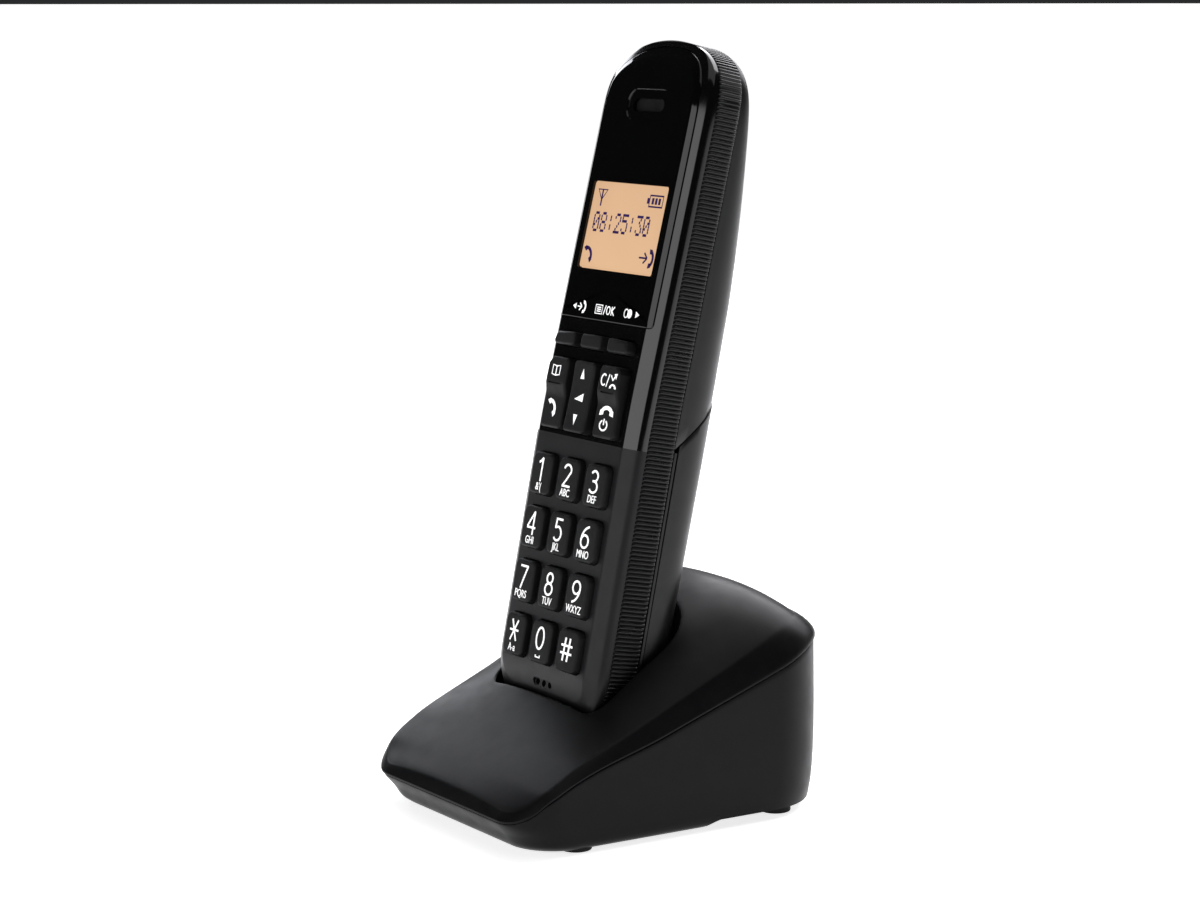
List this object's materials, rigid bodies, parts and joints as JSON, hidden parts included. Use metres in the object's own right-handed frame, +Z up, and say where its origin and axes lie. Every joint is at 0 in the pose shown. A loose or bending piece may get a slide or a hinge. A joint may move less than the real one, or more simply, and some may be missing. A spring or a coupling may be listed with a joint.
{
  "type": "cordless phone with base",
  "caption": "Upright cordless telephone handset leaning in a wedge-shaped charging base, with an amber display, rubber keys and a ribbed grip band.",
  "frame": {"origin": "middle of the base's footprint, on the surface the feet stand on", "axes": "+Z up, the keypad faces -Y, +X to the right of somebody facing the keypad"},
  "size_m": [0.079, 0.096, 0.1922],
  "materials": {
    "base_plastic": "matte moulded plastic, fine texture",
    "handset_plastic": "polished above the keypad, satin below",
    "faceplate_gloss": "mirror-gloss black",
    "lcd_amber": "back-lit amber display",
    "light_guide": "milky",
    "key_rubber": "matte rubber with white legends",
    "band_plastic": "ribbed satin grip",
    "rear_plastic": "satin",
    "foot_rubber": "matte",
    "screw_steel": "zinc plated",
    "contact_metal": "nickel-plated spring metal",
    "board_green": "solder mask",
    "chip_black": "moulded packages",
    "jack_plastic": "moulded socket bodies",
    "inner_plastic": "moulded inner parts",
    "silicone_grey": "translucent silicone",
    "cell_wrap": "shrink-wrapped rechargeable cell"
  },
  "bodies": {
    "base": {"base_bottom_shell": "base_plastic", "base_top_cover": "base_plastic", "base_feet": "foot_rubber", "base_screws": "screw_steel", "base_circuit_board": "board_green", "base_board_components": "chip_black", "base_dc_jack": "jack_plastic", "base_line_jack": "jack_plastic", "base_contact_holder": "inner_plastic"},
    "handset": {"handset_front_case": "handset_plastic", "handset_faceplate": "faceplate_gloss", "handset_lcd": "lcd_amber", "handset_lcd_backlight": "light_guide", "handset_earpiece": "inner_plastic", "handset_keypad_sheet": "silicone_grey", "handset_grip_band": "band_plastic", "handset_rear_case": "rear_plastic", "battery_cell_1": "cell_wrap", "battery_cell_2": "cell_wrap", "battery_contacts": "contact_metal", "handset_circuit_board": "board_green", "handset_board_components": "chip_black", "handset_microphone": "screw_steel", "handset_ringer_speaker": "inner_plastic", "handset_charge_terminals": "contact_metal", "handset_screws": "screw_steel"},
    "charge_contact_left": {"charge_contact_left": "contact_metal"},
    "charge_contact_right": {"charge_contact_right": "contact_metal"},
    "paging_button": {"paging_button": "key_rubber"},
    "battery_cover": {"battery_cover": "rear_plastic"},
    "key_star": {"key_star": "key_rubber"},
    "key_0": {"key_0": "key_rubber"},
    "key_hash": {"key_hash": "key_rubber"},
    "key_7": {"key_7": "key_rubber"},
    "key_8": {"key_8": "key_rubber"},
    "key_9": {"key_9": "key_rubber"},
    "key_4": {"key_4": "key_rubber"},
    "key_5": {"key_5": "key_rubber"},
    "key_6": {"key_6": "key_rubber"},
    "key_1": {"key_1": "key_rubber"},
    "key_2": {"key_2": "key_rubber"},
    "key_3": {"key_3": "key_rubber"},
    "softkey_left": {"softkey_left": "key_rubber"},
    "softkey_center": {"softkey_center": "key_rubber"},
    "softkey_right": {"softkey_right": "key_rubber"},
    "talk_rocker": {"talk_rocker": "key_rubber"},
    "navigator_rocker": {"navigator_rocker": "key_rubber"},
    "off_rocker": {"off_rocker": "key_rubber"}
  },
  "joints": [
    {"name": "handset_lift", "type": "slide", "parent": "base", "child": "handset", "axis": [0, 0.1994, 0.9799], "range_m": [0, 0.06]},
    {"name": "charge_contact_left_press", "type": "slide", "parent": "base", "child": "charge_contact_left", "axis": [0, -0.1994, -0.9799], "range_m": [0, 0.0012], "stiffness_N_per_m": 500},
    {"name": "charge_contact_right_press", "type": "slide", "parent": "base", "child": "charge_contact_right", "axis": [0, -0.1994, -0.9799], "range_m": [0, 0.0012], "stiffness_N_per_m": 500},
    {"name": "paging_button_press", "type": "slide", "parent": "base", "child": "paging_button", "axis": [0, -1, 0], "range_m": [0, 0.0008], "stiffness_N_per_m": 1000},
    {"name": "battery_cover_slide", "type": "slide", "parent": "handset", "child": "battery_cover", "axis": [0, -0.1994, -0.9799], "range_m": [0, 0.005]},
    {"name": "key_star_press", "type": "slide", "parent": "handset", "child": "key_star", "axis": [0, 0.9799, -0.1994], "range_m": [0, 0.0008], "stiffness_N_per_m": 900},
    {"name": "key_0_press", "type": "slide", "parent": "handset", "child": "key_0", "axis": [0, 0.9799, -0.1994], "range_m": [0, 0.0008], "stiffness_N_per_m": 900},
    {"name": "key_hash_press", "type": "slide", "parent": "handset", "child": "key_hash", "axis": [0, 0.9799, -0.1994], "range_m": [0, 0.0008], "stiffness_N_per_m": 900},
    {"name": "key_7_press", "type": "slide", "parent": "handset", "child": "key_7", "axis": [0, 0.9799, -0.1994], "range_m": [0, 0.0008], "stiffness_N_per_m": 900},
    {"name": "key_8_press", "type": "slide", "parent": "handset", "child": "key_8", "axis": [0, 0.9799, -0.1994], "range_m": [0, 0.0008], "stiffness_N_per_m": 900},
    {"name": "key_9_press", "type": "slide", "parent": "handset", "child": "key_9", "axis": [0, 0.9799, -0.1994], "range_m": [0, 0.0008], "stiffness_N_per_m": 900},
    {"name": "key_4_press", "type": "slide", "parent": "handset", "child": "key_4", "axis": [0, 0.9799, -0.1994], "range_m": [0, 0.0008], "stiffness_N_per_m": 900},
    {"name": "key_5_press", "type": "slide", "parent": "handset", "child": "key_5", "axis": [0, 0.9799, -0.1994], "range_m": [0, 0.0008], "stiffness_N_per_m": 900},
    {"name": "key_6_press", "type": "slide", "parent": "handset", "child": "key_6", "axis": [0, 0.9799, -0.1994], "range_m": [0, 0.0008], "stiffness_N_per_m": 900},
    {"name": "key_1_press", "type": "slide", "parent": "handset", "child": "key_1", "axis": [0, 0.9799, -0.1994], "range_m": [0, 0.0008], "stiffness_N_per_m": 900},
    {"name": "key_2_press", "type": "slide", "parent": "handset", "child": "key_2", "axis": [0, 0.9799, -0.1994], "range_m": [0, 0.0008], "stiffness_N_per_m": 900},
    {"name": "key_3_press", "type": "slide", "parent": "handset", "child": "key_3", "axis": [0, 0.9799, -0.1994], "range_m": [0, 0.0008], "stiffness_N_per_m": 900},
    {"name": "softkey_left_press", "type": "slide", "parent": "handset", "child": "softkey_left", "axis": [0, 0.97, -0.2432], "range_m": [0, 0.0008], "stiffness_N_per_m": 900},
    {"name": "softkey_center_press", "type": "slide", "parent": "handset", "child": "softkey_center", "axis": [0, 0.97, -0.2432], "range_m": [0, 0.0008], "stiffness_N_per_m": 900},
    {"name": "softkey_right_press", "type": "slide", "parent": "handset", "child": "softkey_right", "axis": [0, 0.97, -0.2432], "range_m": [0, 0.0008], "stiffness_N_per_m": 900},
    {"name": "talk_rocker_rock", "type": "hinge", "parent": "handset", "child": "talk_rocker", "pos_m": [-0.0117, -0.00385, 0.10427], "axis": [1, 0, 0], "range_deg": [-2.5, 2.5], "stiffness_Nm_per_rad": 0.16},
    {"name": "navigator_rocker_rock", "type": "hinge", "parent": "handset", "child": "navigator_rocker", "pos_m": [0, -0.00385, 0.10427], "axis": [1, 0, 0], "range_deg": [-2.5, 2.5], "stiffness_Nm_per_rad": 0.16},
    {"name": "off_rocker_rock", "type": "hinge", "parent": "handset", "child": "off_rocker", "pos_m": [0.0117, -0.00385, 0.10427], "axis": [1, 0, 0], "range_deg": [-2.5, 2.5], "stiffness_Nm_per_rad": 0.16}
  ]
}
